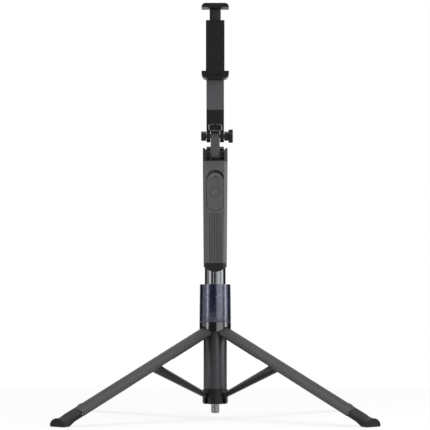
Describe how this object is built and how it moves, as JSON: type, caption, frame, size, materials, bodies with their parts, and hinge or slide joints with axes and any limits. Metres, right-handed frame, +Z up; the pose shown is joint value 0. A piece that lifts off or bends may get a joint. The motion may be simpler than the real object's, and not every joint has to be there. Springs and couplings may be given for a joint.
{
  "type": "selfie stick",
  "caption": "Telescopic selfie stick on a folding four-legged stand, with a pull-out remote, a folding neck, a tilting arm and a swivelling phone clamp.",
  "frame": {"origin": "on the floor under the column's axis", "axes": "+Z up along the column, the front with the remote and the clamp's lips faces -Y"},
  "size_m": [0.3238, 0.3238, 0.4428],
  "materials": {
    "charcoal_polymer": "matte moulded",
    "black_rubber": "matte",
    "bright_steel": "brushed",
    "black_polymer": "satin moulded",
    "gloss_black_polymer": "gloss",
    "navy_flake_lacquer": "gloss metallic flake",
    "grey_anodised_aluminium": "satin anodised",
    "polished_steel": "polished",
    "dark_grey_polymer": "satin",
    "bead_blasted_aluminium": "bead blasted"
  },
  "bodies": {
    "stand": {"column_tube": "grey_anodised_aluminium", "leg_collar": "gloss_black_polymer", "grip_sleeve": "navy_flake_lacquer", "strut_hub": "black_polymer", "foot_spigot": "bright_steel", "leg_pin_1": "bright_steel", "strut_pin_1": "bright_steel", "leg_pin_2": "bright_steel", "strut_pin_2": "bright_steel", "leg_pin_3": "bright_steel", "strut_pin_3": "bright_steel", "leg_pin_4": "bright_steel", "strut_pin_4": "bright_steel"},
    "leg_assembly_1": {"leg_1": "charcoal_polymer", "foot_1": "black_rubber"},
    "strut_assembly_1": {"strut_1": "black_polymer", "slider_pin_1": "bright_steel"},
    "leg_assembly_2": {"leg_2": "charcoal_polymer", "foot_2": "black_rubber"},
    "strut_assembly_2": {"strut_2": "black_polymer", "slider_pin_2": "bright_steel"},
    "leg_assembly_3": {"leg_3": "charcoal_polymer", "foot_3": "black_rubber"},
    "strut_assembly_3": {"strut_3": "black_polymer", "slider_pin_3": "bright_steel"},
    "leg_assembly_4": {"leg_4": "charcoal_polymer", "foot_4": "black_rubber"},
    "strut_assembly_4": {"strut_4": "black_polymer", "slider_pin_4": "bright_steel"},
    "first_tube": {"tube_1": "polished_steel"},
    "second_tube": {"tube_2": "polished_steel"},
    "third_tube": {"tube_3": "polished_steel"},
    "handle": {"tube_4": "polished_steel", "tube_anchor": "black_polymer", "handle_body": "dark_grey_polymer", "handle_end_cap": "black_polymer", "handle_yoke": "black_polymer", "neck_pin": "bright_steel", "neck_bush_left": "black_polymer", "neck_bush_right": "black_polymer"},
    "remote": {"remote_case": "dark_grey_polymer", "remote_back_cover": "black_polymer"},
    "shutter_button": {"remote_button": "dark_grey_polymer"},
    "neck_link": {"neck": "bead_blasted_aluminium"},
    "arm_assembly": {"arm": "bead_blasted_aluminium", "hinge_clip": "bright_steel", "tilt_nut": "black_polymer"},
    "knob_and_bolt": {"tilt_knob": "black_polymer", "tilt_bolt": "bright_steel"},
    "clamp": {"clamp_spine": "black_polymer", "swivel_pin": "bright_steel", "lower_jaw": "black_polymer", "lower_lip_pad": "black_rubber"},
    "sliding_jaw": {"upper_jaw": "black_polymer", "upper_lip_pad": "black_rubber"}
  },
  "joints": [
    {"name": "leg_1_fold", "type": "hinge", "parent": "stand", "child": "leg_assembly_1", "pos_m": [0.01054, 0.01054, 0.0945], "axis": [-0.7071, 0.7071, 0], "range_deg": [0, 66]},
    {"name": "strut_1_swing", "type": "hinge", "parent": "stand", "child": "strut_assembly_1", "pos_m": [0.00764, 0.00764, 0.0225], "axis": [-0.7071, 0.7071, 0], "range_deg": [0, 111]},
    {"name": "leg_2_fold", "type": "hinge", "parent": "stand", "child": "leg_assembly_2", "pos_m": [-0.01054, 0.01054, 0.0945], "axis": [-0.7071, -0.7071, 0], "range_deg": [0, 66]},
    {"name": "strut_2_swing", "type": "hinge", "parent": "stand", "child": "strut_assembly_2", "pos_m": [-0.00764, 0.00764, 0.0225], "axis": [-0.7071, -0.7071, 0], "range_deg": [0, 111]},
    {"name": "leg_3_fold", "type": "hinge", "parent": "stand", "child": "leg_assembly_3", "pos_m": [-0.01054, -0.01054, 0.0945], "axis": [0.7071, -0.7071, 0], "range_deg": [0, 66]},
    {"name": "strut_3_swing", "type": "hinge", "parent": "stand", "child": "strut_assembly_3", "pos_m": [-0.00764, -0.00764, 0.0225], "axis": [0.7071, -0.7071, 0], "range_deg": [0, 111]},
    {"name": "leg_4_fold", "type": "hinge", "parent": "stand", "child": "leg_assembly_4", "pos_m": [0.01054, -0.01054, 0.0945], "axis": [0.7071, 0.7071, 0], "range_deg": [0, 66]},
    {"name": "strut_4_swing", "type": "hinge", "parent": "stand", "child": "strut_assembly_4", "pos_m": [0.00764, -0.00764, 0.0225], "axis": [0.7071, 0.7071, 0], "range_deg": [0, 111]},
    {"name": "first_tube_slide", "type": "slide", "parent": "stand", "child": "first_tube", "axis": [0, 0, 1], "range_m": [0, 0.085]},
    {"name": "second_tube_slide", "type": "slide", "parent": "first_tube", "child": "second_tube", "axis": [0, 0, 1], "range_m": [0, 0.12]},
    {"name": "third_tube_slide", "type": "slide", "parent": "second_tube", "child": "third_tube", "axis": [0, 0, 1], "range_m": [0, 0.12]},
    {"name": "handle_slide", "type": "slide", "parent": "third_tube", "child": "handle", "axis": [0, 0, 1], "range_m": [-0.012, 0.12]},
    {"name": "remote_pull", "type": "slide", "parent": "handle", "child": "remote", "axis": [0, -1, 0], "range_m": [0, 0.03]},
    {"name": "shutter_press", "type": "slide", "parent": "remote", "child": "shutter_button", "axis": [0, 1, 0], "range_m": [0, 0.0006], "stiffness_N_per_m": 600},
    {"name": "neck_fold", "type": "hinge", "parent": "handle", "child": "neck_link", "pos_m": [0, 0, 0.2814], "axis": [-1, 0, 0], "range_deg": [0, 90]},
    {"name": "arm_tilt", "type": "hinge", "parent": "neck_link", "child": "arm_assembly", "pos_m": [0, 0, 0.3026], "axis": [1, 0, 0], "range_deg": [-45, 80]},
    {"name": "knob_turn", "type": "hinge", "parent": "arm_assembly", "child": "knob_and_bolt", "pos_m": [0, 0, 0.3026], "axis": [1, 0, 0], "continuous": true},
    {"name": "clamp_swivel", "type": "hinge", "parent": "arm_assembly", "child": "clamp", "pos_m": [0, -0.012, 0.4039], "axis": [0, -1, 0], "range_deg": [0, 90]},
    {"name": "jaw_slide", "type": "slide", "parent": "clamp", "child": "sliding_jaw", "axis": [0, 0, 1], "range_m": [-0.012, 0.018]}
  ],
  "couplings": [
    {"joint": "strut_1_swing", "follows": "leg_1_fold", "ratio": 1.6817},
    {"joint": "strut_2_swing", "follows": "leg_2_fold", "ratio": 1.6817},
    {"joint": "strut_3_swing", "follows": "leg_3_fold", "ratio": 1.6817},
    {"joint": "strut_4_swing", "follows": "leg_4_fold", "ratio": 1.6817}
  ]
}
